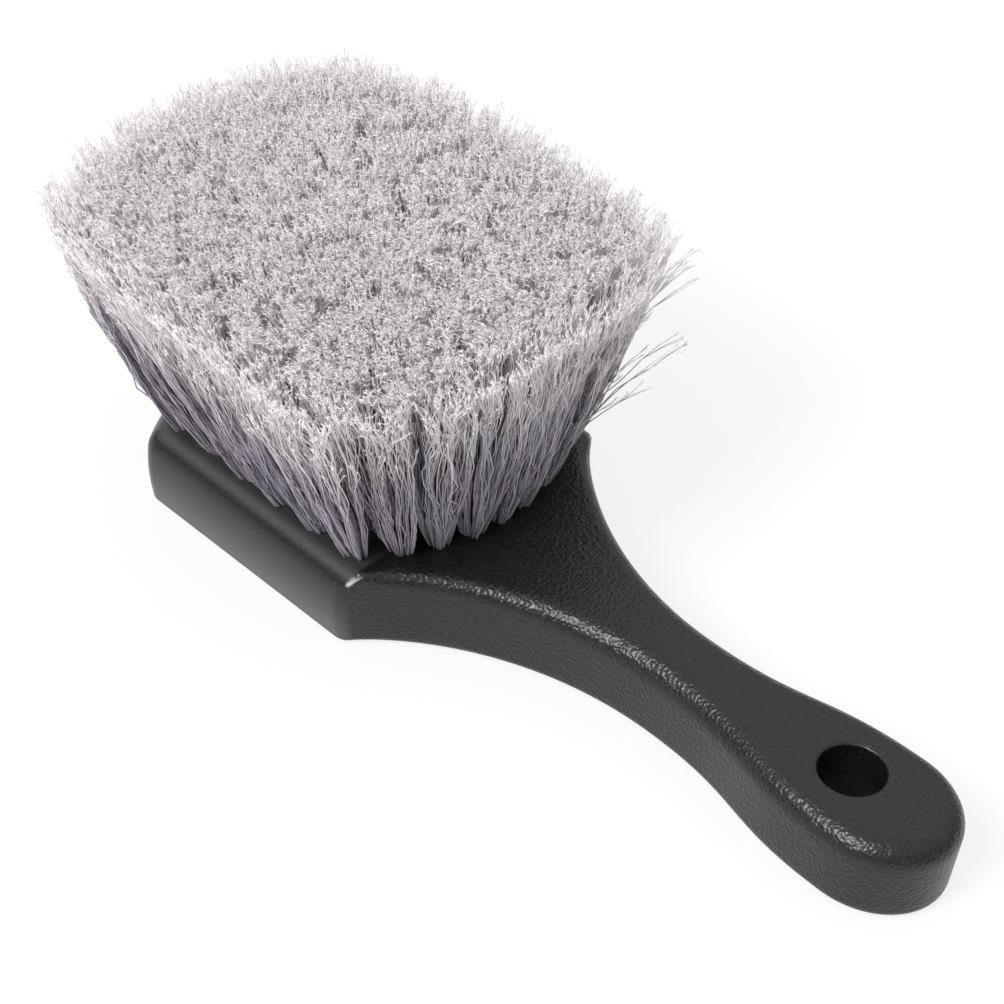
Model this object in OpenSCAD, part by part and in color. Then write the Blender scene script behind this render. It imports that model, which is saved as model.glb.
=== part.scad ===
// Short-handled wheel brush: a moulded block with handle, drilled for flared tufts of soft grey filament.
// Millimetres. +Z up from the flat back, +X along the handle.
// The origin is the centre of the hang hole on the flat back.

/* [Head of the block] */
// Width of the head across its straight sides
head_width = 80.8; // [72:0.1:92]
// Length of the straight sides, from the shoulder line to the front corners
head_side_length = 66; // [58:0.1:76]
// How far the front edge bulges past its corners
front_bulge = 13.6; // [8:0.1:18]
// Radius of the front corners
front_corner_radius = 5.2; // [5:0.1:10]
// Thickness of the head
head_thickness = 21; // [19:0.1:28]
// Radius of the rounded edge round the tufted face
head_edge_radius = 6.4; // [5:0.1:8]
// How far the rounded edge reaches into the tufted face
head_edge_inset = 4.7; // [3:0.1:4.7]
// How far the head's walls draw in towards the flat back
head_draft = 1.1; // [0.2:0.1:2]
// Radius of the head's bottom edge
head_bottom_radius = 1.3; // [0.6:0.1:3]

/* [Handle] */
// Distance from the shoulder line to the centre of the hang hole
shoulder_to_hole = 110.4; // [98:0.1:114]
// Radius of the shoulder corners
shoulder_radius = 5; // [4.8:0.1:8]
// Slant of the shoulders, from straight across
shoulder_slant = 33; // [20:0.5:38]
// Distance from the shoulder line to the narrow waist
waist_distance = 64.4; // [56:0.1:72]
// Width at the waist
waist_width = 18.8; // [16:0.1:26]
// Thickness at the waist
waist_thickness = 20.7; // [17:0.1:24]
// Distance from the shoulder line to the widest part of the grip
grip_distance = 118.2; // [112:0.1:124]
// Width of the widest part of the grip
grip_width = 32.8; // [28:0.1:38]
// Thickness of the grip
grip_thickness = 20.2; // [17:0.1:24]
// Distance from the shoulder line to the end of the handle
handle_length = 136.9; // [131:0.1:146]
// Radius of the handle's top edge at the shoulder
shoulder_edge_radius = 3.5; // [2:0.1:5]
// Radius of the handle's top edge at the waist
waist_edge_radius = 5.7; // [3:0.1:7]
// Radius of the handle's top edge at the grip
grip_edge_radius = 5.1; // [3:0.1:6]
// Radius of the handle's bottom edge
handle_bottom_radius = 2.3; // [1:0.1:4]
// How far the handle's walls draw in towards the flat back
handle_draft = 0.5; // [0.2:0.1:1.5]

/* [Hang hole] */
// Diameter of the hang hole
hang_hole_diameter = 14.5; // [10:0.1:17]
// Chamfer round the hang hole's upper rim
hang_rim_chamfer = 0.7; // [0.3:0.1:1.2]

/* [Tuft holes] */
// Distance past the shoulder line of the middle row's last tuft
field_back = 8; // [4:0.1:12]
// Least distance from a tuft hole's rim to the edge of the tufted face
rim_margin = 1.3; // [0.9:0.1:2]
// Diameter of each tuft hole
tuft_hole_diameter = 4.8; // [4:0.05:5]
// Depth of each tuft hole along its own axis
tuft_hole_depth = 12; // [9:0.1:14]
// Radial clearance between a tuft's folded root and its hole
tuft_clearance = 0.1; // [0.05:0.01:0.2]
// Height of a tuft's folded root above the tufted face
root_rise = 1; // [0.7:0.1:1.5]

/* [Anchors] */
// Bite of an anchor into each side of its tuft hole
anchor_bite = 0.3; // [0.15:0.05:0.5]
// Thickness of the flat anchor wire
anchor_thickness = 0.45; // [0.3:0.05:0.7]
// Height of the flat anchor wire
anchor_height = 1.8; // [1.2:0.1:2.4]
// Distance from the bottom of the tuft hole to the anchor
anchor_lift = 1.6; // [1:0.1:2.2]

/* [Bristles] */
// Height of the trimmed tips above the flat back
trim_height = 75.5; // [60:0.5:90]
// Lengthwise spread of the tips compared with the tuft holes
flare_length = 1.45; // [1.35:0.01:1.6]
// Crosswise spread of the tips compared with the tuft holes
flare_width = 1.62; // [1.45:0.01:1.8]
// How much the crosswise spread falls off towards the front
front_taper = 0.3; // [0:0.01:0.32]
// How far the tips sweep towards the front
forward_sweep = 12; // [4:0.1:14]
// Drop of the outermost tips below the middle ones
crown_drop = 1.5; // [0:0.1:6]
// Radius of a strand's feathered tip
strand_tip_radius = 1.45; // [0.6:0.05:1.6]
// Gap between the tips of neighbouring tufts
tuft_tip_gap = 1.2; // [0.6:0.1:2]
// Unevenness of the trimmed tips
tip_unevenness = 1.6; // [0:0.1:3]

/* [Hidden] */
// Tufts in each lengthwise row, from the middle row outward
row_counts = [9, 8, 8, 7, 6];
side_rows = len(row_counts) - 1;
row_total = 2 * side_rows + 1;
row_numbers = [1 : row_total];
// Strands of one tuft round its middle one
strands_round = 6;
strand_sides = 3;
half_width = head_width / 2;

// The tufted field keeps a margin inside the edge of the tufted face
field_inset = head_edge_inset + rim_margin + tuft_hole_diameter / 2;
row_pitch = (half_width - field_inset) / side_rows;
field_front = head_side_length + front_bulge - field_inset;

// A smooth step from 0 at low to 1 at high
function ease(value, low, high) =
    let (share = min(1, max(0, (value - low) / (high - low))))
    (1 - cos(180 * share)) / 2;

function mix(from, to, share) = from + (to - from) * share;

function bezier(p0, p1, p2, p3, t) =
    p0 * pow(1 - t, 3) + p1 * 3 * t * pow(1 - t, 2) + p2 * 3 * t * t * (1 - t) + p3 * pow(t, 3);

// A value that runs along the block: even over the tufted head, then the waist's, then the grip's
even_head_end = field_back + tuft_hole_diameter;
function along_block(x, head_value, waist_value, grip_value, neck_end = waist_distance) =
    x < waist_distance
        ? mix(head_value, waist_value, ease(x, even_head_end, neck_end))
        : mix(waist_value, grip_value, ease(x, waist_distance, grip_distance));

// The thickness falls to the waist's well before the waist
neck_fall_share = 0.4;
function thickness_at(x) = along_block(
    x, head_thickness, waist_thickness, grip_thickness, neck_fall_share * waist_distance);
function edge_radius_at(x) =
    along_block(x, shoulder_edge_radius, waist_edge_radius, grip_edge_radius);

// Half of the block's outline, from the middle of the front edge to the end of the handle
front_apex = -(head_side_length + front_bulge);
front_radius = (pow(half_width, 2) + pow(front_bulge, 2)) / (2 * front_bulge);
front_centre = front_apex + front_radius;
corner_y = half_width - front_corner_radius;
corner_x = front_centre - sqrt(pow(front_radius - front_corner_radius, 2) - pow(corner_y, 2));
corner_angle = atan2(corner_y, corner_x - front_centre);

shoulder_turn = 90 - shoulder_slant;
shoulder_tangent = shoulder_radius * tan(shoulder_turn / 2);
shoulder_direction = [cos(shoulder_turn), -sin(shoulder_turn)];
neck_start = [0, half_width] + shoulder_tangent * shoulder_direction;
// How hard each end of the neck's and the grip's curves holds its direction
neck_start_pull = 6.2;
neck_end_share = 0.59;
grip_share = 0.5;
waist_point = [waist_distance, waist_width / 2];
grip_point = [grip_distance, grip_width / 2];
grip_pull = [grip_share * (grip_distance - waist_distance), 0];
// 2 is an ellipse, and more is squarer
end_squareness = 2;

// Facets of each stretch of the half outline
arc_steps = 14;
corner_steps = 6;
side_steps = 5;
neck_steps = 18;
grip_steps = 14;
end_steps = 14;

front_half = [for (i = [0 : arc_steps])
    let (angle = mix(180, corner_angle, i / arc_steps))
    [front_centre + front_radius * cos(angle), front_radius * max(0, sin(angle))]];
corner_half = [for (i = [1 : corner_steps])
    let (angle = mix(corner_angle, 90, i / corner_steps))
    [corner_x, corner_y] + front_corner_radius * [cos(angle), sin(angle)]];
side_half = [for (i = [1 : side_steps])
    [mix(corner_x, -shoulder_tangent, i / side_steps), half_width]];
shoulder_half = [for (i = [1 : corner_steps])
    let (angle = mix(90, shoulder_slant, i / corner_steps))
    [-shoulder_tangent, half_width - shoulder_radius] + shoulder_radius * [cos(angle), sin(angle)]];
neck_half = [for (i = [1 : neck_steps])
    bezier(neck_start, neck_start + neck_start_pull * shoulder_direction,
        waist_point - [neck_end_share * waist_distance, 0], waist_point, i / neck_steps)];
grip_half = [for (i = [1 : grip_steps])
    bezier(waist_point, waist_point + grip_pull, grip_point - grip_pull, grip_point, i / grip_steps)];
end_half = [for (i = [1 : end_steps])
    let (angle = 90 * (1 - i / end_steps))
    [mix(grip_distance, handle_length, pow(max(0, cos(angle)), 2 / end_squareness)),
        i < end_steps ? grip_width / 2 * pow(sin(angle), 2 / end_squareness) : 0]];

half_outline = concat(
    front_half, corner_half, side_half, shoulder_half, neck_half, grip_half, end_half);
half_total = len(half_outline);
round_total = 2 * half_total - 2;
outline = [for (i = [0 : round_total - 1])
    i < half_total ? half_outline[i] : let (p = half_outline[round_total - i]) [p[0], -p[1]]];

function outward(i) =
    let (
        before = outline[(i + round_total - 1) % round_total],
        after = outline[(i + 1) % round_total],
        run = after - before
    )
    [-run[1], run[0]] / norm(run);

// Edge profiles, each a list of [inset, height] from the flat back to the tufted face
profile_steps = 6;
bottom_steps = 3;

function bottom_profile(radius, draft) = [for (i = [0 : bottom_steps])
    let (angle = 90 * i / bottom_steps)
    [draft + radius * (1 - sin(angle)), radius * (1 - cos(angle))]];

// How far a rounded edge lies below the flat top, at a distance in from its wall
function round_drop(radius, reach, distance) =
    distance >= reach
        ? 0
        : let (whole = sqrt(1 - pow(1 - reach / radius, 2)))
          radius * (whole - sqrt(max(0, 1 - pow(1 - distance / radius, 2))));

// The head's rounded edge runs on past the shoulder corner, where the neck's wall cuts it in a crease.
// From there the handle's own rounded edge grows.
edge_turn_end = shoulder_tangent + shoulder_radius;
function top_profile(i, share) =
    let (
        x = outline[i][0],
        y = outline[i][1],
        past_shoulder = x > -shoulder_tangent,
        handle_radius = edge_radius_at(x),
        reach = mix(head_edge_inset, handle_radius, share),
        own_radius = handle_radius * share
    )
    [for (step = [0 : profile_steps])
        let (
            inset = reach * (1 - cos(90 * step / profile_steps)),
            from_side = past_shoulder ? half_width - abs(y - inset * outward(i)[1]) : inset,
            head_drop = round_drop(head_edge_radius, head_edge_inset, from_side),
            own_drop = past_shoulder ? round_drop(own_radius, own_radius, inset) : 0
        )
        [inset, thickness_at(x) - head_drop - own_drop]];

function edge_profile(i) =
    let (share = ease(outline[i][0], -shoulder_tangent, edge_turn_end))
    concat(
        bottom_profile(
            mix(head_bottom_radius, handle_bottom_radius, share),
            mix(head_draft, handle_draft, share)
        ),
        top_profile(i, share)
    );

profiles = [for (i = [0 : round_total - 1]) edge_profile(i)];
ring_total = len(profiles[0]);
block_points = [for (ring = [0 : ring_total - 1], i = [0 : round_total - 1])
    let (inset = profiles[i][ring][0], flat = outline[i] - inset * outward(i))
    [flat[0], flat[1], profiles[i][ring][1]]];

function ring_point(ring, i) = ring * round_total + i % round_total;
function other_side(i) = (round_total - i) % round_total;

wall_faces = [for (ring = [0 : ring_total - 2], i = [0 : round_total - 1], half = [0, 1])
    half == 0
        ? [ring_point(ring, i), ring_point(ring, i + 1), ring_point(ring + 1, i + 1)]
        : [ring_point(ring, i), ring_point(ring + 1, i + 1), ring_point(ring + 1, i)]];

function cap_faces(ring) = [for (i = [0 : half_total - 2], half = [0, 1])
    if (half == 0 ? i < half_total - 2 : i > 0)
        half == 0
            ? [ring_point(ring, i), ring_point(ring, i + 1), ring_point(ring, other_side(i + 1))]
            : [ring_point(ring, i), ring_point(ring, other_side(i + 1)), ring_point(ring, other_side(i))]];

function turned(faces) = [for (face = faces) [face[2], face[1], face[0]]];

// The tufted field: [x, y] of every tuft of one row, with rows counted from the -Y side
back_roundness = 1.2;
field_back_radius = back_roundness * half_width;
field_front_radius = front_radius - field_inset;
function row_y(row) = (row - side_rows - 1) * row_pitch;
function row_count(row) = row_counts[abs(row - side_rows - 1)];
function arc_drop(radius, y) = radius - sqrt(radius * radius - y * y);
function row_back(row) = field_back - arc_drop(field_back_radius, row_y(row));
function tuft_pitch(row) =
    (row_back(row) + field_front - arc_drop(field_front_radius, row_y(row))) / (row_count(row) - 1);
function row_tufts(row) = [for (i = [0 : row_count(row) - 1])
    [row_back(row) - i * tuft_pitch(row), row_y(row)]];

// Where a tuft's tips stand above the field, and how its hole leans towards them
field_middle = (field_back - field_front) / 2;
field_half_length = (field_back + field_front) / 2;
field_half_width = side_rows * row_pitch;
least_width_flare = flare_width - front_taper;
strand_rise = trim_height - head_thickness;
hole_lean_share = 0.7;
function width_flare(x) =
    flare_width - front_taper * pow(max(0, field_middle - x) / field_half_length, 2);
function tip_point(tuft) = [
    field_middle - forward_sweep + (tuft[0] - field_middle) * flare_length,
    tuft[1] * width_flare(tuft[0])
];
function tuft_lean(tuft) = hole_lean_share * (tip_point(tuft) - tuft) / strand_rise;

// How far one tuft's tips fan out, lengthwise and across, within its own share of the tips
function tip_fan(row) = [for (pitch = [tuft_pitch(row) * flare_length, row_pitch * least_width_flare])
    (pitch - tuft_tip_gap) / 2 - strand_tip_radius];

function tip_drop(tuft) = crown_drop / 2
    * (pow((tuft[0] - field_middle) / field_half_length, 2) + pow(tuft[1] / field_half_width, 2));

// Parts stand with the hang hole's centre at the origin
module in_place() {
    translate([-shoulder_to_hole, 0, 0]) children();
}

// Children stand on the tufted face, leaning with one tuft's hole
module at_tuft(tuft) {
    lean = tuft_lean(tuft);
    around = atan2(lean[1], lean[0]);
    translate([tuft[0], tuft[1], head_thickness])
        rotate([0, 0, around])
            rotate([0, atan(norm(lean)), 0])
                rotate([0, 0, -around])
                    children();
}

// A flat piece of wire across the hole, which holds the fold of the tuft
anchor_length = tuft_hole_diameter + 2 * anchor_bite;
module anchor_wire() {
    translate([-anchor_length / 2, -anchor_thickness / 2, anchor_lift - tuft_hole_depth])
        cube([anchor_length, anchor_thickness, anchor_height]);
}

module tuft_hole() {
    translate([0, 0, -tuft_hole_depth])
        cylinder(d = tuft_hole_diameter, h = tuft_hole_depth + hole_overrun, $fn = 48);
    anchor_wire();
}

hole_overrun = 3;
module hang_hole() {
    top = thickness_at(shoulder_to_hole);
    radius = hang_hole_diameter / 2;
    translate([shoulder_to_hole, 0, 0]) {
        translate([0, 0, -hole_overrun])
            cylinder(r = radius, h = top + 2 * hole_overrun, $fn = 96);
        translate([0, 0, top - hang_rim_chamfer])
            cylinder(
                r1 = radius,
                r2 = radius + hang_rim_chamfer + hole_overrun,
                h = hang_rim_chamfer + hole_overrun,
                $fn = 96
            );
    }
}

module handle_block() {
    color("#2b2b2c")
        in_place()
            difference() {
                polyhedron(
                    points = block_points,
                    faces = concat(wall_faces, cap_faces(ring_total - 1), turned(cap_faces(0)))
                );
                hang_hole();
                for (row = row_numbers, tuft = row_tufts(row))
                    at_tuft(tuft) tuft_hole();
            }
}

// One strand: a slender three-sided rod that thickens to its feathered tip
function strand_ring(centre, radius, turn) = [for (i = [0 : strand_sides - 1])
    let (angle = turn + 360 * i / strand_sides)
    centre + radius * [cos(angle), sin(angle), 0]];

strand_sections = 3;
strand_faces = concat(
    [[2, 1, 0]],
    [for (ring = [0 : strand_sections - 2], i = [0 : strand_sides - 1], half = [0, 1])
        let (
            a = ring * strand_sides + i,
            b = ring * strand_sides + (i + 1) % strand_sides
        )
        half == 0 ? [a, b, b + strand_sides] : [a, b + strand_sides, a + strand_sides]],
    [let (last = (strand_sections - 1) * strand_sides) [last, last + 1, last + 2]]
);

// Strands stand in a ring of the folded root, start below its top, and bow a little before they flare
root_radius = tuft_hole_diameter / 2 - tuft_clearance;
root_fan_share = 0.58;
strand_root_share = 0.22;
root_fan = root_fan_share * root_radius;
strand_root_radius = strand_root_share * root_radius;
root_sink = 1.2;
bow_height = 0.45;
bow_share = 0.4;
module strand(tuft, fan, spot, turn, uneven) {
    lean = tuft_lean(tuft);
    tip_flat = tip_point(tuft) + [spot[0] * fan[0], spot[1] * fan[1]];
    root_flat = tuft - root_sink * lean + spot * root_fan;
    bow_flat = mix(root_flat, tip_flat, bow_share);
    root = [root_flat[0], root_flat[1], head_thickness - root_sink];
    tip = [tip_flat[0], tip_flat[1], trim_height - tip_drop(tuft) - uneven];
    bow = [bow_flat[0], bow_flat[1], mix(root[2], tip[2], bow_height)];
    bow_radius = mix(strand_root_radius, strand_tip_radius, bow_share);
    rings = concat(
        strand_ring(root, strand_root_radius, turn),
        strand_ring(bow, bow_radius, turn),
        strand_ring(tip, strand_tip_radius, turn)
    );
    polyhedron(points = rings, faces = turned(strand_faces));
}

// One tuft: a folded root with a gap for its anchor, and strands that fan out from it
module tuft_of_strands(tuft, fan, seed) {
    uneven = rands(0, tip_unevenness, strands_round + 1, seed);
    union() {
        difference() {
            at_tuft(tuft)
                translate([0, 0, -tuft_hole_depth])
                    cylinder(r = root_radius, h = tuft_hole_depth + root_rise, $fn = 12);
            at_tuft(tuft) anchor_wire();
        }
        strand(tuft, fan, [0, 0], 0, uneven[strands_round]);
        for (i = [0 : strands_round - 1])
            let (angle = 360 * i / strands_round)
            strand(tuft, fan, [cos(angle), sin(angle)], angle, uneven[i]);
    }
}

seeds_per_row = 100;
module tuft_row(row) {
    color("#b9b3ba")
        in_place() {
            tufts = row_tufts(row);
            for (i = [0 : len(tufts) - 1])
                tuft_of_strands(tufts[i], tip_fan(row), seeds_per_row * row + i);
        }
}

module anchor_row(row) {
    color("#c9c5bb")
        in_place()
            for (tuft = row_tufts(row))
                at_tuft(tuft) anchor_wire();
}

handle_block();
for (row = row_numbers) {
    tuft_row(row);
    anchor_row(row);
}
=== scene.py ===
import math

import bmesh
import bpy
import numpy as np
from mathutils import Matrix, Vector


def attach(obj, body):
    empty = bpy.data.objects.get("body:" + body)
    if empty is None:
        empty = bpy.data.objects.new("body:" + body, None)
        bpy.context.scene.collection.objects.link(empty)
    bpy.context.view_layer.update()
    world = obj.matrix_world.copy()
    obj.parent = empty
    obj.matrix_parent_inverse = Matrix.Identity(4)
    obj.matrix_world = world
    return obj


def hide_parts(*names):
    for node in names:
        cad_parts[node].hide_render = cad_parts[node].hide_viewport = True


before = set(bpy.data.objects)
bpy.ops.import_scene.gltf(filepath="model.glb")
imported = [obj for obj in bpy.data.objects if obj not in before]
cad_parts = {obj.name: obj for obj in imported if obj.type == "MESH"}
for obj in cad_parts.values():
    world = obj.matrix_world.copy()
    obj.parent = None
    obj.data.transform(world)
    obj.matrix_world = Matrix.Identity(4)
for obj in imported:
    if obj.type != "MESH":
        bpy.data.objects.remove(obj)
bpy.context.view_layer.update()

# A short-handled wheel brush: a black moulded block with nine rows of feathered bristles

MM = 0.001

# Sizes of the block, in millimetres from the shoulder line, as in the part's source
HEAD_HALF_WIDTH = 40.4
HEAD_SIDE_LENGTH = 66.0
FRONT_BULGE = 13.6
FRONT_CORNER_RADIUS = 5.2
HEAD_THICKNESS = 21.0
HEAD_EDGE_RADIUS = 6.4
HEAD_EDGE_INSET = 4.7
HEAD_DRAFT = 1.1
HEAD_BOTTOM_RADIUS = 1.3
SHOULDER_TO_HOLE = 110.4
SHOULDER_RADIUS = 5.0
SHOULDER_SLANT = 33.0
WAIST_DISTANCE = 64.4
WAIST_HALF_WIDTH = 9.4
WAIST_THICKNESS = 20.7
GRIP_DISTANCE = 118.2
GRIP_HALF_WIDTH = 16.4
GRIP_THICKNESS = 20.2
HANDLE_LENGTH = 136.9
SHOULDER_EDGE_RADIUS = 3.5
WAIST_EDGE_RADIUS = 5.7
GRIP_EDGE_RADIUS = 5.1
HANDLE_BOTTOM_RADIUS = 2.3
HANDLE_DRAFT = 0.5
NECK_FALL_SHARE = 0.4
NECK_START_PULL = 6.2
NECK_END_SHARE = 0.59
GRIP_SHARE = 0.5
END_SQUARENESS = 2.0
HANG_HOLE_RADIUS = 7.25

# Finer shapes of the block: a rim round the hang hole, and a swell of the head's walls at half height
HANG_RIM_RADIUS = 0.7
HEAD_SWELL = 0.45

# Sizes of the tufted field, as in the part's source
FIELD_BACK = 8.0
FIELD_INSET = 8.4
TUFT_HOLE_RADIUS = 2.4
TUFT_HOLE_DEPTH = 12.0
ROW_COUNTS = (9, 8, 8, 7, 6)
BACK_ROUNDNESS = 1.2
TRIM_HEIGHT = 75.5
FLARE = np.array([1.45, 1.62])
FRONT_TAPER = 0.3
FORWARD_SWEEP = 12.0
CROWN_DROP = 1.5
HOLE_LEAN_SHARE = 0.7

# Sizes that follow from these
FRONT_APEX = -(HEAD_SIDE_LENGTH + FRONT_BULGE)
FRONT_RADIUS = (HEAD_HALF_WIDTH**2 + FRONT_BULGE**2) / (2 * FRONT_BULGE)
SHOULDER_TURN = math.radians(90 - SHOULDER_SLANT)
SHOULDER_TANGENT = SHOULDER_RADIUS * math.tan(SHOULDER_TURN / 2)
FIELD_FRONT = HEAD_SIDE_LENGTH + FRONT_BULGE - FIELD_INSET
FIELD_MIDDLE = (FIELD_BACK - FIELD_FRONT) / 2
FIELD_HALF_LENGTH = (FIELD_BACK + FIELD_FRONT) / 2
FIELD_HALF_WIDTH = HEAD_HALF_WIDTH - FIELD_INSET
SIDE_ROWS = len(ROW_COUNTS) - 1
ROW_PITCH = FIELD_HALF_WIDTH / SIDE_ROWS
ROWS = range(1, 2 * SIDE_ROWS + 2)
STRAND_RISE = TRIM_HEIGHT - HEAD_THICKNESS


def ease(value, low, high):
    """A smooth step from 0 at low to 1 at high."""
    share = np.clip((value - low) / (high - low), 0.0, 1.0)
    return (1 - np.cos(np.pi * share)) / 2


def mix(low, high, share):
    """A value between two others."""
    return low + (high - low) * share


def cubic(p0, p1, p2, p3, t):
    """Points of a cubic curve at shares t of its run."""
    return p0 * (1 - t) ** 3 + p1 * 3 * t * (1 - t) ** 2 + p2 * 3 * t**2 * (1 - t) + p3 * t**3


def in_row_frame(points):
    """Millimetres from the shoulder line, as metres from the hang hole."""
    return (np.asarray(points, float) - [SHOULDER_TO_HOLE, 0, 0]) * MM


def show(name, data):
    """An object of the scene that shows a mesh, a lamp or a camera."""
    shown = bpy.data.objects.new(name, data)
    bpy.context.scene.collection.objects.link(shown)
    return shown


def new_piece(name, points, faces, slot, material):
    """A mesh piece of the brush, from points in metres, that rides on the brush's only body."""
    mesh = bpy.data.meshes.new(name)
    mesh.from_pydata(points, [], faces)
    mesh.materials.append(material)
    mesh.shade_smooth()
    piece = show(name, mesh)
    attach(piece, "root")
    return piece


# The block's outline

FRONT_STEPS = 36
CORNER_STEPS = 12
SIDE_STEPS = 40
SHOULDER_STEPS = 14
NECK_STEPS = 120
GRIP_STEPS = 48
END_STEPS = 40


def bezier(p0, p1, p2, p3, steps):
    """Points along a cubic curve, without its first."""
    return cubic(p0, p1, p2, p3, np.linspace(0, 1, steps + 1)[1:, None])


def arc(centre, radius, start, end, steps):
    """Points along a circle between two angles in degrees, without the first."""
    angle = np.radians(np.linspace(start, end, steps + 1)[1:])
    return np.stack([centre[0] + radius * np.cos(angle), centre[1] + radius * np.sin(angle)], 1)


def handle_end():
    """The rounded end of the handle, from its widest place to its tip."""
    angle = np.radians(np.linspace(90, 0, END_STEPS + 1)[1:])
    power = 2 / END_SQUARENESS
    x = mix(GRIP_DISTANCE, HANDLE_LENGTH, np.abs(np.cos(angle)) ** power)
    y = GRIP_HALF_WIDTH * np.abs(np.sin(angle)) ** power
    y[-1] = 0
    return np.stack([x, y], 1)


def half_outline():
    """The outline's +Y half, from the middle of the front edge to the end of the handle."""
    front_centre = FRONT_APEX + FRONT_RADIUS
    corner_y = HEAD_HALF_WIDTH - FRONT_CORNER_RADIUS
    reach = math.sqrt((FRONT_RADIUS - FRONT_CORNER_RADIUS) ** 2 - corner_y**2)
    corner = (front_centre - reach, corner_y)
    corner_angle = math.degrees(math.atan2(corner_y, -reach))
    side_x = np.linspace(corner[0], -SHOULDER_TANGENT, SIDE_STEPS + 1)[1:]
    shoulder = (-SHOULDER_TANGENT, HEAD_HALF_WIDTH - SHOULDER_RADIUS)

    direction = np.array([math.cos(SHOULDER_TURN), -math.sin(SHOULDER_TURN)])
    neck_start = np.array([0, HEAD_HALF_WIDTH]) + SHOULDER_TANGENT * direction
    neck_pull = NECK_START_PULL * direction
    waist = np.array([WAIST_DISTANCE, WAIST_HALF_WIDTH])
    waist_pull = np.array([NECK_END_SHARE * WAIST_DISTANCE, 0])
    grip = np.array([GRIP_DISTANCE, GRIP_HALF_WIDTH])
    grip_pull = np.array([GRIP_SHARE * (GRIP_DISTANCE - WAIST_DISTANCE), 0])
    return np.concatenate([
        [[FRONT_APEX, 0.0]],
        arc((front_centre, 0), FRONT_RADIUS, 180, corner_angle, FRONT_STEPS),
        arc(corner, FRONT_CORNER_RADIUS, corner_angle, 90, CORNER_STEPS),
        np.stack([side_x, np.full(SIDE_STEPS, HEAD_HALF_WIDTH)], 1),
        arc(shoulder, SHOULDER_RADIUS, 90, SHOULDER_SLANT, SHOULDER_STEPS),
        bezier(neck_start, neck_start + neck_pull, waist - waist_pull, waist, NECK_STEPS),
        bezier(waist, waist + grip_pull, grip - grip_pull, grip, GRIP_STEPS),
        handle_end(),
    ])


# The block's walls and faces

BOTTOM_STEPS = 6
WALL_STEPS = 8
TOP_STEPS = 14
FACE_COLUMNS = 28


def along_block(x, head_value, waist_value, grip_value, neck_end=WAIST_DISTANCE):
    """A value that is even over the tufted head, then runs to the waist's and to the grip's."""
    even_head_end = FIELD_BACK + 2 * TUFT_HOLE_RADIUS
    near = mix(head_value, waist_value, ease(x, even_head_end, neck_end))
    far = mix(waist_value, grip_value, ease(x, WAIST_DISTANCE, GRIP_DISTANCE))
    return np.where(x < WAIST_DISTANCE, near, far)


def thickness_at(x):
    """The height of the block's upper face."""
    neck_end = NECK_FALL_SHARE * WAIST_DISTANCE
    return along_block(x, HEAD_THICKNESS, WAIST_THICKNESS, GRIP_THICKNESS, neck_end)


def round_drop(radius, reach, distance):
    """How far a rounded edge lies below the flat top, at a distance in from its wall."""
    if distance >= reach:
        return 0.0
    full = math.sqrt(1 - (1 - reach / radius) ** 2)
    return radius * (full - math.sqrt(max(0, 1 - (1 - distance / radius) ** 2)))


def bottom_edge(share):
    """The rounded edge of the flat back: [inset, height], for a share from head to handle."""
    radius = mix(HEAD_BOTTOM_RADIUS, HANDLE_BOTTOM_RADIUS, share)
    draft = mix(HEAD_DRAFT, HANDLE_DRAFT, share)
    angle = np.radians(np.linspace(0, 90, BOTTOM_STEPS + 1))
    return np.stack([draft + radius * (1 - np.sin(angle)), radius * (1 - np.cos(angle))], 1)


def top_edge(point, outward, share):
    """The rounded edge of the upper face: [inset, height], for a share from head to handle."""
    x, y = point
    past_shoulder = x > -SHOULDER_TANGENT
    radius = float(along_block(x, SHOULDER_EDGE_RADIUS, WAIST_EDGE_RADIUS, GRIP_EDGE_RADIUS))
    reach = mix(HEAD_EDGE_INSET, radius, share)
    top = float(thickness_at(x))
    edge = []
    # The head's rounded edge runs on past the shoulder, where the neck's wall cuts it in a crease
    for angle in np.radians(np.linspace(0, 90, TOP_STEPS + 1)):
        inset = reach * (1 - math.cos(angle))
        from_side = HEAD_HALF_WIDTH - abs(y - inset * outward[1]) if past_shoulder else inset
        drop = round_drop(HEAD_EDGE_RADIUS, HEAD_EDGE_INSET, from_side)
        if past_shoulder:
            drop += round_drop(radius * share, radius * share, inset)
        edge.append([inset, top - drop])
    return np.array(edge)


def edge_profile(point, outward):
    """The wall at one place: [inset, height] from the flat back to the tufted face."""
    share = float(ease(point[0], -SHOULDER_TANGENT, SHOULDER_TANGENT + SHOULDER_RADIUS))
    bottom = bottom_edge(share)
    top = top_edge(point, outward, share)
    t = np.linspace(0, 1, WALL_STEPS + 1)[1:-1, None]
    swell = mix(HEAD_SWELL, 0, share)
    wall = mix(bottom[-1], top[0], t) - 4 * t * (1 - t) * [swell, 0]
    return np.concatenate([bottom, wall, top])


def band_faces(rings, sides):
    """Four-sided faces between rings of points that are closed on themselves."""
    faces = []
    for ring in range(rings - 1):
        low = ring * sides
        high = low + sides
        for i in range(sides):
            j = (i + 1) % sides
            faces.append((low + i, low + j, high + j, high + i))
    return faces


def grid_faces(start, rows):
    """Four-sided faces of a flat grid of points, FACE_COLUMNS wide."""
    faces = []
    for i in range(rows - 1):
        for j in range(FACE_COLUMNS):
            corner = start + i * (FACE_COLUMNS + 1) + j
            next_row = corner + FACE_COLUMNS + 1
            faces.append((corner, next_row, next_row + 1, corner + 1))
    return faces


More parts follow.
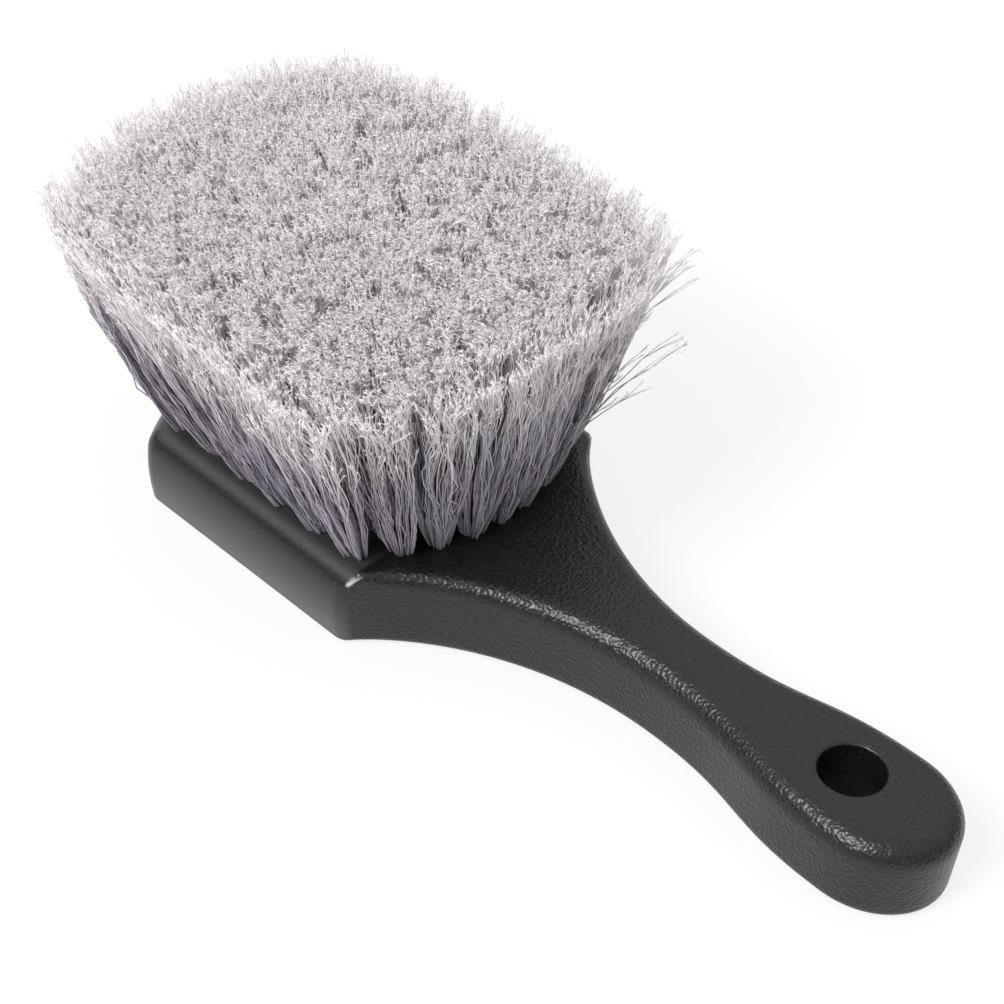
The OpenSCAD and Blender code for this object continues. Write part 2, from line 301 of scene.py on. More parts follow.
def block_mesh():
    """Points in metres and faces of the block without its holes."""
    half = half_outline()
    mirrored = half[-2:0:-1] * [1, -1]
    outline = np.concatenate([half, mirrored])
    total = len(outline)
    run = np.roll(outline, -1, 0) - np.roll(outline, 1, 0)
    outward = np.stack([-run[:, 1], run[:, 0]], 1) / np.linalg.norm(run, axis=1)[:, None]
    profiles = np.array([edge_profile(*place) for place in zip(outline, outward)])
    rings = profiles.shape[1]

    flat = outline[None] - profiles[:, :, 0].T[:, :, None] * outward[None]
    walls = np.concatenate([flat, profiles[:, :, 1].T[:, :, None]], 2)
    points = [walls.reshape(-1, 3)]
    faces = band_faces(rings, total)

    stations = np.arange(len(half))
    across = np.linspace(0, 1, FACE_COLUMNS + 1)[None, :, None]
    for ring, turned in ((0, True), (rings - 1, False)):
        start = sum(len(part) for part in points)
        left = walls[ring][stations][:, None]
        right = walls[ring][-stations % total][:, None]
        points.append(mix(left, right, across).reshape(-1, 3))
        flat_faces = grid_faces(start, len(half))
        faces += [face[::-1] for face in flat_faces] if turned else flat_faces
    return in_row_frame(np.concatenate(points)), [face[::-1] for face in faces]


# The tufted field


def row_y(row):
    """How far a row lies from the middle one."""
    return (row - SIDE_ROWS - 1) * ROW_PITCH


def arc_drop(radius, y):
    """How far a circle has fallen back from its apex, at y to the side."""
    return radius - math.sqrt(radius**2 - y**2)


def row_tufts(row):
    """The places of one row's tufts on the tufted face, and the distance between them."""
    y = row_y(row)
    count = ROW_COUNTS[abs(row - SIDE_ROWS - 1)]
    back = FIELD_BACK - arc_drop(BACK_ROUNDNESS * HEAD_HALF_WIDTH, y)
    front = -FIELD_FRONT + arc_drop(FRONT_RADIUS - FIELD_INSET, y)
    pitch = (back - front) / (count - 1)
    return [np.array([back - i * pitch, y]) for i in range(count)], pitch


def tip_point(tuft):
    """Where the middle of a tuft ends, seen from above."""
    middle = np.array([FIELD_MIDDLE, 0])
    forward_share = max(0, FIELD_MIDDLE - tuft[0]) / FIELD_HALF_LENGTH
    flare = FLARE - [0, FRONT_TAPER * forward_share**2]
    return middle - [FORWARD_SWEEP, 0] + (tuft - middle) * flare


def tuft_lean(tuft):
    """How far a tuft's hole leans outward for each millimetre of height."""
    return HOLE_LEAN_SHARE * (tip_point(tuft) - tuft) / STRAND_RISE


# The block's holes

# Cutters stand out of the block by this much
CUTTER_OVERRUN = 3.0
RIM_STEPS = 6
HANG_HOLE_SIDES = 128
TUFT_HOLE_SIDES = 24
# Points nearer than this are one, in metres
MERGE_DISTANCE = 1e-6
SHARP_ANGLE = math.radians(32)
# How far the painted highlight streak on each shoulder's crease reaches, in millimetres
CREASE_HIGHLIGHT_REACH = (0.3, 0.75)
# The streak lies on the crease's upper part, from this far in from the head's side
CREASE_HIGHLIGHT_FROM = 1.1


def lathe(profile, sides):
    """A closed solid of revolution about Z, from [radius, height] upwards."""
    angle = np.linspace(0, 2 * np.pi, sides, endpoint=False)
    rings = [np.stack([r * np.cos(angle), r * np.sin(angle), np.full(sides, z)], 1) for r, z in profile]
    faces = band_faces(len(profile), sides)
    faces.append(tuple(range(sides))[::-1])
    faces.append(tuple((len(profile) - 1) * sides + i for i in range(sides)))
    return np.concatenate(rings), faces


def hang_hole_cutter():
    """The hang hole with its rounded rim."""
    top = float(thickness_at(SHOULDER_TO_HOLE))
    profile = [(HANG_HOLE_RADIUS, -CUTTER_OVERRUN)]
    for bend in np.linspace(0, np.pi / 2, RIM_STEPS + 1):
        radius = HANG_HOLE_RADIUS + HANG_RIM_RADIUS * (1 - math.cos(bend))
        profile.append((radius, top - HANG_RIM_RADIUS * (1 - math.sin(bend))))
    profile.append((profile[-1][0] + CUTTER_OVERRUN, top + CUTTER_OVERRUN))
    points, faces = lathe(profile, HANG_HOLE_SIDES)
    return points + [SHOULDER_TO_HOLE, 0, 0], faces


def hole_cutters():
    """One mesh of all that is cut from the block: the hang hole and the tuft holes."""
    hang_points, hang_faces = hang_hole_cutter()
    points = [hang_points]
    faces = list(hang_faces)
    tuft_profile = [(TUFT_HOLE_RADIUS, -TUFT_HOLE_DEPTH), (TUFT_HOLE_RADIUS, CUTTER_OVERRUN)]
    tuft_points, tuft_faces = lathe(tuft_profile, TUFT_HOLE_SIDES)
    for row in ROWS:
        for tuft in row_tufts(row)[0]:
            start = sum(len(part) for part in points)
            axis = Vector((*tuft_lean(tuft), 1)).normalized()
            turn = np.array(Vector((0, 0, 1)).rotation_difference(axis).to_matrix())
            points.append(tuft_points @ turn.T + [*tuft, HEAD_THICKNESS])
            faces += [tuple(start + i for i in face) for face in tuft_faces]
    return in_row_frame(np.concatenate(points)), faces


def merge(mesh):
    """Join a mesh's doubled points and turn its faces outward."""
    work = bmesh.new()
    work.from_mesh(mesh)
    bmesh.ops.remove_doubles(work, verts=work.verts, dist=MERGE_DISTANCE)
    bmesh.ops.dissolve_degenerate(work, edges=work.edges, dist=MERGE_DISTANCE)
    bmesh.ops.recalc_face_normals(work, faces=work.faces)
    work.to_mesh(mesh)
    work.free()


def shoulder_crease():
    """Points of the +Y shoulder's crease, from the head's wall to the tufted face."""
    outline = half_outline()
    from_side = HEAD_HALF_WIDTH - outline[:, 1]
    on_edge = (from_side > CREASE_HIGHLIGHT_FROM) & (from_side < HEAD_EDGE_INSET)
    on_crease = on_edge & (outline[:, 0] > -SHOULDER_TANGENT)
    places = outline[on_crease]
    drops = [round_drop(HEAD_EDGE_RADIUS, HEAD_EDGE_INSET, side) for side in from_side[on_crease]]
    return np.column_stack([places, thickness_at(places[:, 0]) - drops])


def mark_crease_highlight(mesh):
    """Write a value at each point of the block: 1 on a shoulder's crease, 0 away from it, to place the
    painted highlight.
    """
    points = np.zeros(3 * len(mesh.vertices))
    mesh.vertices.foreach_get("co", points)
    points = points.reshape(-1, 3)
    points[:, 1] = np.abs(points[:, 1])
    crease = in_row_frame(shoulder_crease())
    away = np.linalg.norm(points[:, None] - crease[None], axis=2).min(1) / MM
    crease_highlight = mesh.attributes.new("crease_highlight", "FLOAT", "POINT")
    crease_highlight.data.foreach_set("value", (1 - ease(away, *CREASE_HIGHLIGHT_REACH)).astype(np.float32))


def make_block(material):
    """The moulding, with its holes cut and its creases marked for the painted highlight."""
    block = new_piece("moulded_block", *block_mesh(), "block", material)
    merge(block.data)
    cutter_mesh = bpy.data.meshes.new("cutters")
    points, faces = hole_cutters()
    cutter_mesh.from_pydata(points, [], faces)
    cutter = show("cutters", cutter_mesh)
    cut = block.modifiers.new("holes", "BOOLEAN")
    cut.operation = "DIFFERENCE"
    cut.solver = "MANIFOLD"
    cut.object = cutter
    graph = bpy.context.evaluated_depsgraph_get()
    result = bpy.data.meshes.new_from_object(block.evaluated_get(graph))
    block.modifiers.clear()
    block.data = result
    bpy.data.objects.remove(cutter)
    result.shade_smooth()
    result.set_sharp_from_angle(angle=SHARP_ANGLE)
    mark_crease_highlight(result)
    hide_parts("handle_block")


# Shader nodes


def nodes_of(name):
    """A new material, its node tree and its shader."""
    material = bpy.data.materials.new(name)
    material.use_nodes = True
    tree = material.node_tree
    return material, tree, tree.nodes["Principled BSDF"]


def add(tree, kind, **values):
    """A new node, with values for its settings and its inputs."""
    node = tree.nodes.new(kind)
    for key, value in values.items():
        if hasattr(node, key):
            setattr(node, key, value)
        else:
            node.inputs[key.replace("_", " ")].default_value = value
    return node


def link(tree, source, target):
    tree.links.new(source, target)


def map_range(tree, source, low, high, to_low, to_high):
    """A value carried from one range to another, held at both ends."""
    spread = add(tree, "ShaderNodeMapRange", From_Min=low, From_Max=high, To_Min=to_low, To_Max=to_high)
    link(tree, source, spread.inputs["Value"])
    return spread.outputs["Result"]


def inverse(tree, share):
    """What is left of a share up to 1."""
    return map_range(tree, share, 0.0, 1.0, 1.0, 0.0)


def combine(tree, operation, first, second):
    """Two values put together by a step of arithmetic."""
    step = add(tree, "ShaderNodeMath", operation=operation)
    link(tree, first, step.inputs[0])
    link(tree, second, step.inputs[1])
    return step.outputs["Value"]


def place_on(tree):
    """The place on the piece that is shaded, in metres from the hang hole."""
    return add(tree, "ShaderNodeTexCoord").outputs["Object"]


def axes_of(tree, vector):
    """The X, Y and Z of a vector."""
    split = add(tree, "ShaderNodeSeparateXYZ")
    link(tree, vector, split.inputs["Vector"])
    return split.outputs


def length_of(tree, vector):
    """The length of a vector."""
    length = add(tree, "ShaderNodeVectorMath", operation="LENGTH")
    link(tree, vector, length.inputs[0])
    return length.outputs["Value"]


def noise_on(tree, place, **values):
    """An uneven value all over the piece."""
    noise = add(tree, "ShaderNodeTexNoise", **values)
    link(tree, place, noise.inputs["Vector"])
    return noise.outputs["Fac"]


def attribute(tree, name):
    """What is written at each point of the mesh under a name."""
    return add(tree, "ShaderNodeAttribute", attribute_name=name).outputs


def colour_ramp(tree, source, colours):
    """A colour that follows a value, by pairs of a value and its colour."""
    ramp = add(tree, "ShaderNodeValToRGB")
    stops = ramp.color_ramp.elements
    for share, _ in colours[1:-1]:
        stops.new(share)
    for stop, (share, colour) in zip(stops, colours):
        stop.position = share
        stop.color = colour
    link(tree, source, ramp.inputs["Fac"])
    return ramp.outputs["Color"]


def tinted(tree, share, base, colour):
    """A colour that turns into a fixed one by a share."""
    blend = add(tree, "ShaderNodeMix", data_type="RGBA")
    blend.inputs["B"].default_value = colour
    link(tree, share, blend.inputs["Factor"])
    link(tree, base, blend.inputs["A"])
    return blend.outputs["Result"]


# Plastic of the block

# The handle's grain begins round the shoulder corner, in metres along the brush
GRAIN_START = (-0.1102, -0.1092)
# It ends at the wall of the hang hole, in metres from the hole's axis
GRAIN_END = (0.0073, 0.0077)
# The grain's pebbles for each metre, their depth in metres, and their strength off the grain and on it
PEBBLE_SCALE = 1250.0
PEBBLE_SMOOTHNESS = 0.5
PEBBLE_DEPTH = 0.0004
PEBBLE_STRENGTH = (0.02, 0.42)
# A finer unevenness all over
FINE_SCALE = 2600.0
FINE_DETAIL = 2.0
FINE_DEPTH = 0.0002
FINE_STRENGTH = 0.08
# The plastic's blacks, each with the value of the fine unevenness where it stands
PLASTIC_COLOURS = (
    (0.38, (0.001, 0.001, 0.001, 1)),
    (0.62, (0.012, 0.012, 0.012, 1)),
)
# The head's satin wall is paler towards its bottom edge, in metres above the flat back: painted light in
# place of the bright floor's reflection
PAINTED_WALL_LIGHT = (0.015, 0.002)
# Its tufted face is paler too, from the height where its rounded edge turns level: painted light that lifts
# the shade under the bristles
PAINTED_FACE_LIGHT = (0.0188, 0.0202)
PAINTED_FACE_LIGHT_SHARE = 0.5
PAINTED_LIGHT_COLOUR = (0.06, 0.06, 0.06, 1)
# The crease over each shoulder is smooth, and carries a pale painted highlight streak
CREASE_HIGHLIGHT_COLOUR = (0.5, 0.5, 0.5, 1)
CREASE_ROUGHNESS = 0.13
# Elsewhere the roughness follows this range of the fine unevenness
SATIN_RANGE = (0.3, 0.7)
SATIN_ROUGHNESS = (0.28, 0.38)


def plastic_surface(tree, place, fine, grained):
    """Pebbles where the plastic is grained, and the fine unevenness all over."""
    pebbles = add(tree, "ShaderNodeTexVoronoi", feature="SMOOTH_F1",
                  Scale=PEBBLE_SCALE, Smoothness=PEBBLE_SMOOTHNESS)
    link(tree, place, pebbles.inputs["Vector"])
    pebble_bump = add(tree, "ShaderNodeBump", Distance=PEBBLE_DEPTH)
    link(tree, pebbles.outputs["Distance"], pebble_bump.inputs["Height"])
    link(tree, map_range(tree, grained, 0.0, 1.0, *PEBBLE_STRENGTH), pebble_bump.inputs["Strength"])
    fine_bump = add(tree, "ShaderNodeBump", Strength=FINE_STRENGTH, Distance=FINE_DEPTH)
    link(tree, fine, fine_bump.inputs["Height"])
    link(tree, pebble_bump.outputs["Normal"], fine_bump.inputs["Normal"])
    return fine_bump.outputs["Normal"]


def plastic_colour(tree, height, fine, on_handle, crease_highlight):
    """Black, with painted light low on the head's wall and on its face, and a pale painted highlight on the
    shoulder creases.
    """
    black = colour_ramp(tree, fine, PLASTIC_COLOURS)
    # Painted light low on the head's wall, standing in for the floor's reflection
    wall_painted_light = map_range(tree, height, *PAINTED_WALL_LIGHT, 0.0, 1.0)
    # Painted light on the tufted face, lifting the shade under the bristles
    face = map_range(tree, height, *PAINTED_FACE_LIGHT, 0.0, PAINTED_FACE_LIGHT_SHARE)
    painted_light = combine(tree, "MAXIMUM", wall_painted_light, face)
    painted_light_share = combine(tree, "MULTIPLY", inverse(tree, on_handle), painted_light)
    # Painted highlight: the shoulder creases are painted pale to show the lamp's glint
    return tinted(tree, crease_highlight, tinted(tree, painted_light_share, black, PAINTED_LIGHT_COLOUR), CREASE_HIGHLIGHT_COLOUR)


def plastic_roughness(tree, fine, off_crease_highlight):
    """Satin, and smoother on the shoulder creases."""
    roughness = add(tree, "ShaderNodeMix", data_type="FLOAT")
    roughness.inputs["A"].default_value = CREASE_ROUGHNESS
    link(tree, off_crease_highlight, roughness.inputs["Factor"])
    link(tree, map_range(tree, fine, *SATIN_RANGE, *SATIN_ROUGHNESS), roughness.inputs["B"])
    return roughness.outputs["Result"]


def plastic():
    """Black moulded plastic: a satin head, and a handle with a fine sandy grain."""
    material, tree, shader = nodes_of("moulded_plastic")
    place = place_on(tree)
    axes = axes_of(tree, place)
    flat = add(tree, "ShaderNodeCombineXYZ")
    link(tree, axes["X"], flat.inputs["X"])
    link(tree, axes["Y"], flat.inputs["Y"])
    from_hole = length_of(tree, flat.outputs["Vector"])
    on_handle = map_range(tree, axes["X"], *GRAIN_START, 0.0, 1.0)
    out_of_hole = map_range(tree, from_hole, *GRAIN_END, 0.0, 1.0)
    # Where the painted highlight lies on the shoulder creases
    crease_highlight = attribute(tree, "crease_highlight")["Fac"]
    off_crease_highlight = inverse(tree, crease_highlight)
    grained = combine(tree, "MULTIPLY", combine(tree, "MULTIPLY", on_handle, out_of_hole), off_crease_highlight)
    fine = noise_on(tree, place, Scale=FINE_SCALE, Detail=FINE_DETAIL)

    link(tree, plastic_surface(tree, place, fine, grained), shader.inputs["Normal"])
    link(tree, plastic_colour(tree, axes["Z"], fine, on_handle, crease_highlight), shader.inputs["Base Color"])
    link(tree, plastic_roughness(tree, fine, off_crease_highlight), shader.inputs["Roughness"])
    return material


# Filament and wire

# Colours along a filament, each with the share of its length where it stands; the darker root end is partly
# the filament's violet grey and partly painted shade of the tufts' depths
FILAMENT_COLOURS = (
    (0.0, (0.37, 0.34, 0.40, 1)),
    (0.5, (0.43, 0.395, 0.455, 1)),
    (1.0, (0.955, 0.915, 0.92, 1)),
)
FILAMENT_ROUGHNESS = 0.65
FILAMENT_SPECULAR = 0.3
STEEL_COLOUR = (0.6, 0.58, 0.55, 1)
STEEL_ROUGHNESS = (0.3, 0.5)
STEEL_SCALE = 2000.0


def bristle():
    """Feathered filament: violet grey at the root and darkened there by painted shade, pale and warm at the
    tip, and uneven between strands.
    """
    material, tree, shader = nodes_of("feathered_filament")
    shader.inputs["Roughness"].default_value = FILAMENT_ROUGHNESS
    shader.inputs["Specular IOR Level"].default_value = FILAMENT_SPECULAR
    tint = add(tree, "ShaderNodeMix", data_type="RGBA", blend_type="MULTIPLY")
    tint.inputs["Factor"].default_value = 1.0
    link(tree, colour_ramp(tree, attribute(tree, "along")["Fac"], FILAMENT_COLOURS), tint.inputs["A"])
    link(tree, attribute(tree, "shade")["Color"], tint.inputs["B"])
    link(tree, tint.outputs["Result"], shader.inputs["Base Color"])
    return material


def steel():
    """Galvanised wire of the anchors."""
    material, tree, shader = nodes_of("anchor_wire")
    shader.inputs["Base Color"].default_value = STEEL_COLOUR
    shader.inputs["Metallic"].default_value = 1.0
    noise = noise_on(tree, place_on(tree), Scale=STEEL_SCALE)
    link(tree, map_range(tree, noise, 0.0, 1.0, *STEEL_ROUGHNESS), shader.inputs["Roughness"])
    return material


# Bristles, in millimetres from the shoulder line

LOCKS = 20
LOCK_FILAMENTS = 8
FILAMENTS = LOCKS * LOCK_FILAMENTS
SEGMENTS = 12
# A filament is one strand for its first segments, then several finer ones
STEM_SEGMENTS = 10
STEM_SHARE = STEM_SEGMENTS / SEGMENTS
BRANCHES = 3
SIDES = 3
ROOT_RADIUS = 0.19
STEM_RADIUS = 0.14
BRANCH_RADIUS = 0.11
TIP_RADIUS = 0.07
# Each row has random draws of its own
FIRST_SEED = 500
# No strand runs this way, so the strands' sides are turned by it
ACROSS = (0.31, 0.95, 0.02)

# Locks start this far down their hole and this far from its axis
SINK = 4.0
ROOT_SPREAD = 1.2
SPOT_SHAKE = 0.08
# A tuft's outer locks lean out by this much at the root, for each millimetre of height
ROOT_FAN = 0.34
# At the tip they fan out by a share of the distance between tufts, give or take the scatter
FAN_SHARE = 0.58
TIP_SCATTER = 1.3
# A lock keeps near its first and last directions over these shares of its rise
ROOT_PULL = 0.35
TIP_PULL = 0.3
# Its last direction has this share of its overall lean
TIP_LEAN_SHARE = 0.95
# A lock's radius at the root, and its even and late growth towards the tip
LOCK_RADIUS = 0.4
LOCK_GROWTH = 1.0
LOCK_LATE_GROWTH = 1.6

# Waves: their size, and the lowest and highest number of them along the length
LOCK_WAVE = (0.9, 0.7, 1.5)
FILAMENT_WAVE = (0.85, 1.5, 5.0)
STRAY_WAVE = (0.5, 1.2, 3.0)
WAVE_STRENGTH = (0.3, 1.3)
# Some filaments curl out of line, and some end early, by a share of their length
FLYAWAY_SHARE = 0.05
FLYAWAY_CURL = 3.5
SHORT_SHARE = 0.12
EDGE_SHORT_SHARE = 0.5
SHORT_CUT = (0.03, 0.28)
TIP_UNEVENNESS = 0.7

# Fine strands spread, kink and sink from their stem's line
BRANCH_SPREAD = 0.8
BRANCH_KINK = BRANCH_SPREAD / 3
BRANCH_SINK = BRANCH_SPREAD / 2
# Split ends of one fine strand
SPLITS = 4
SPLIT_ZONE = 1.3
SPLIT_LENGTH = (0.7, 1.7)
SPLIT_RADIUS = 0.12
# They lie mostly level, and follow their strand a little, or much near the trimmed outline
SPLIT_SCATTER = np.array([0.8, 0.8, 0.3])
SPLIT_FOLLOW = (0.25, 2.0)
SPLIT_FOLLOW_ZONE = (0.8, 0.97)

# Filaments and their locks differ in tone and warmth, stems more so than fine strands
FILAMENT_GREY = (0.86, 1.1)
LOCK_GREY = (0.94, 1.05)
WARMTH_SPREAD = 0.02
STEM_CONTRAST = 2.2
FINE_CONTRAST = 0.6

# The middle of the tips' trimmed outline, whose near side is at -Y and far side at +Y
TRIM_MIDDLE = np.array([-44.0, 1.0])
# Its reach to the front and the near side, and to the handle and the far side
TRIM_REACH_LOW = np.array([64.2, 55.0])
TRIM_REACH_HIGH = np.array([61.0, 58.6])
# It is cut a little askew, forward on the far side
TRIM_SKEW = 0.025
# How square its corners are
FRONT_NEAR_SQUARENESS = 3.3
FRONT_FAR_SQUARENESS = 2.7
BACK_NEAR_SQUARENESS = 7.0
BACK_FAR_SQUARENESS = 5.0
# The trimmed face rounds over towards its outline
EDGE_DROP = 2.0
EDGE_DROP_FROM = 0.8

# Tips of the few filaments that stick out over the far shoulder
STRAY_TIPS = (
    (4, 62, 60), (6, 59, 62), (7, 60, 66), (9, 57, 61), (18, 46, 52), (17, 45, 55),
    (24, 36, 60), (20, 31, 50), (19, 25, 50), (16, 27, 53), (11, 41, 50),
)
# Tips this far to the side belong to the last row
STRAY_LAST_ROW = 60
# Where stray filaments bend over, as shares of their way out and up
STRAY_BEND_OUT = 0.35
STRAY_BEND_UP = 0.6
STRAY_START_PULL = 0.5


def unit(vectors):
    """Vectors drawn to a length of 1."""
    return vectors / np.linalg.norm(vectors, axis=-1, keepdims=True)


def disc_spots(count, rng):
    """Evenly spread spots in a unit disc, a little shaken."""
    golden = np.pi * (3 - math.sqrt(5))
    order = np.arange(count) + 0.5
    radius = np.sqrt(order / count)
    angle = order * golden + rng.uniform(0, 2 * np.pi)
    spots = np.stack([radius * np.cos(angle), radius * np.sin(angle)], 1)
    return spots + rng.normal(0, SPOT_SHAKE, (count, 2))


def squared(spots):
    """Spots of a unit disc pulled out towards the corners of a square."""
    reach = np.linalg.norm(spots, axis=1, keepdims=True) / np.abs(spots).max(1, keepdims=True)
    return spots * reach


def shares(steps):
    """Even shares of a length, (1, step, 1)."""
    return np.linspace(0, 1, steps)[None, :, None]


def wave(count, size, slowest, fastest, rng):
    """Sideways waves that grow from the root, (filament, step, xy)."""
    t = shares(SEGMENTS + 1)
    phase = rng.uniform(0, 2 * np.pi, (count, 1, 2))
    speed = rng.uniform(slowest, fastest, (count, 1, 2))
    strength = size * rng.uniform(*WAVE_STRENGTH, (count, 1, 2))
    return np.sin(2 * np.pi * speed * t + phase) * strength * np.sqrt(t)


def crown_drop(tuft):
    """How far a tuft's tips lie below the middle of the trimmed face."""
    along = (tuft[0] - FIELD_MIDDLE) / FIELD_HALF_LENGTH
    across = tuft[1] / FIELD_HALF_WIDTH
    return CROWN_DROP / 2 * (along**2 + across**2)


def trim_reach(tips):
    """How far out tips stand: 1 on the trimmed outline, a rounded oblong that is squarer at the handle."""
    offset = tips - TRIM_MIDDLE
    offset[..., 0] += TRIM_SKEW * offset[..., 1]
    far = offset[..., 1] > 0
    front_power = np.where(far, FRONT_FAR_SQUARENESS, FRONT_NEAR_SQUARENESS)
    back_power = np.where(far, BACK_FAR_SQUARENESS, BACK_NEAR_SQUARENESS)
    power = np.where(offset[..., 0] < 0, front_power, back_power)
    share = np.abs(offset) / np.where(offset < 0, TRIM_REACH_LOW, TRIM_REACH_HIGH)
    return (share[..., 0] ** power + share[..., 1] ** power) ** (1 / power)


def inside_trim(tips):
    """Tips drawn back inside the trimmed outline."""
    return TRIM_MIDDLE + (tips - TRIM_MIDDLE) / np.maximum(1, trim_reach(tips))[..., None]


def lock_guides(tuft, pitch, rng):
    """Centre lines of one tuft's locks, (lock, step, xyz)."""
    spots = disc_spots(LOCKS, rng)
    lean = tuft_lean(tuft)
    fan = np.array([pitch, ROW_PITCH]) * FLARE * FAN_SHARE
    root = np.zeros((LOCKS, 3))
    root[:, :2] = tuft + spots * ROOT_SPREAD - SINK * lean
    root[:, 2] = HEAD_THICKNESS - SINK
    tip = np.zeros((LOCKS, 3))
    tip[:, :2] = tip_point(tuft) + squared(spots) * fan + rng.normal(0, TIP_SCATTER, (LOCKS, 2))
    tip[:, 2] = TRIM_HEIGHT - crown_drop(tuft)

    rise = (tip - root)[:, 2:3]
    start = np.concatenate([lean / HOLE_LEAN_SHARE + spots * ROOT_FAN, np.ones((LOCKS, 1))], 1)
    finish = (tip - root) / rise * [TIP_LEAN_SHARE, TIP_LEAN_SHARE, 1]
    after_root = root + start * rise * ROOT_PULL
    before_tip = tip - finish * rise * TIP_PULL
    path = cubic(root[:, None], after_root[:, None], before_tip[:, None], tip[:, None], shares(SEGMENTS + 1))
    path[:, :, :2] += wave(LOCKS, *LOCK_WAVE, rng)
    return path


def shortened(paths, cut):
    """Centre lines that end early by a share of their length."""
    steps = paths.shape[1]
    place = (1 - cut)[:, None] * np.arange(steps)
    before = np.minimum(place.astype(int), steps - 2)
    share = (place - before)[:, :, None]
    low = np.take_along_axis(paths, before[:, :, None], 1)
    high = np.take_along_axis(paths, before[:, :, None] + 1, 1)
    return mix(low, high, share)


def filaments_of(tuft, pitch, rng):
    """Centre lines of one tuft's filaments, (filament, step, xyz)."""
    path = np.repeat(lock_guides(tuft, pitch, rng), LOCK_FILAMENTS, 0)
    t = shares(SEGMENTS + 1)
    angle = rng.uniform(0, 2 * np.pi, FILAMENTS)
    radius = np.sqrt(rng.uniform(0, 1, FILAMENTS))
    spot = np.stack([radius * np.cos(angle), radius * np.sin(angle)], 1)[:, None]
    lock_radius = LOCK_RADIUS + LOCK_GROWTH * t + LOCK_LATE_GROWTH * t**3
    curl = np.where(rng.uniform(0, 1, (FILAMENTS, 1, 1)) < FLYAWAY_SHARE, FLYAWAY_CURL, 1)
    path[:, :, :2] += spot * lock_radius + wave(FILAMENTS, *FILAMENT_WAVE, rng) * curl

    tip = path[:, -1:, :2]
    path[:, :, :2] += (inside_trim(tip) - tip) * t**2
    near_edge = ease(trim_reach(path[:, -1, :2]), EDGE_DROP_FROM, 1)
    drop = EDGE_DROP * near_edge[:, None] + np.abs(rng.normal(0, TIP_UNEVENNESS, (FILAMENTS, 1)))
    path[:, :, 2] -= drop * t[:, :, 0] ** 2
    short_share = mix(SHORT_SHARE, EDGE_SHORT_SHARE, near_edge)
    is_short = rng.uniform(0, 1, FILAMENTS) < short_share
    return shortened(path, np.where(is_short, rng.uniform(*SHORT_CUT, FILAMENTS), 0))


def stray_paths(tuft, row, rng):
    """Filaments of this row that stick out over the far shoulder, from the tuft nearest to it."""
    paths = []
    for tip in STRAY_TIPS:
        if row == round(mix(SIDE_ROWS + 1, 2 * SIDE_ROWS + 1, tip[1] / STRAY_LAST_ROW)):
            root = np.array([*tuft, HEAD_THICKNESS - SINK])
            bend_place = mix(tuft, np.array(tip[:2]), STRAY_BEND_OUT)
            bend = np.array([*bend_place, mix(HEAD_THICKNESS, tip[2], STRAY_BEND_UP)])
            after_root = mix(root, bend, STRAY_START_PULL)
            path = cubic(root, after_root, bend, np.array(tip, float), shares(SEGMENTS + 1)[0])
            path[:, :2] += wave(1, *STRAY_WAVE, rng)[0]
            paths.append(path)
    return np.array(paths).reshape(-1, SEGMENTS + 1, 3)


def branches_of(paths, rng):
    """Fine strands that carry each filament on from the end of its stem, (strand, step, xyz)."""
    fine = np.repeat(paths[:, STEM_SEGMENTS:], BRANCHES, 0)
    count, steps = fine.shape[:2]
    t = shares(steps)
    fine[:, :, :2] += rng.normal(0, BRANCH_SPREAD, (count, 1, 2)) * t
    fine[:, 1:-1, :2] += rng.normal(0, BRANCH_KINK, (count, steps - 2, 2))
    fine[:, :, 2] -= np.abs(rng.normal(0, BRANCH_SINK, (count, 1))) * t[:, :, 0]
    return fine


def corner_angles():
    """The angles of a strand's corners round its centre line."""
    return np.linspace(0, 2 * np.pi, SIDES, endpoint=False)


def tubes(paths, start_radius, end_radius):
    """Three-sided tubes along centre lines: points and faces."""
    count, steps = paths.shape[:2]
    tangent = unit(np.gradient(paths, axis=1))
    side = unit(np.cross(tangent, ACROSS))
    other = np.cross(tangent, side)
    radius = np.linspace(start_radius, end_radius, steps)[None, :, None, None]
    angle = corner_angles()[None, None, :, None]
    ring = side[:, :, None] * np.cos(angle) + other[:, :, None] * np.sin(angle)
    points = (paths[:, :, None] + ring * radius).reshape(-1, 3)

    low = (np.arange(count)[:, None, None] * steps + np.arange(steps - 1)[None, :, None]) * SIDES
    high = low + SIDES
    corner = np.arange(SIDES)
    following = (corner + 1) % SIDES
    faces = np.stack([low + corner, low + following, high + following, high + corner], -1)
    return points, faces.reshape(-1, 4)


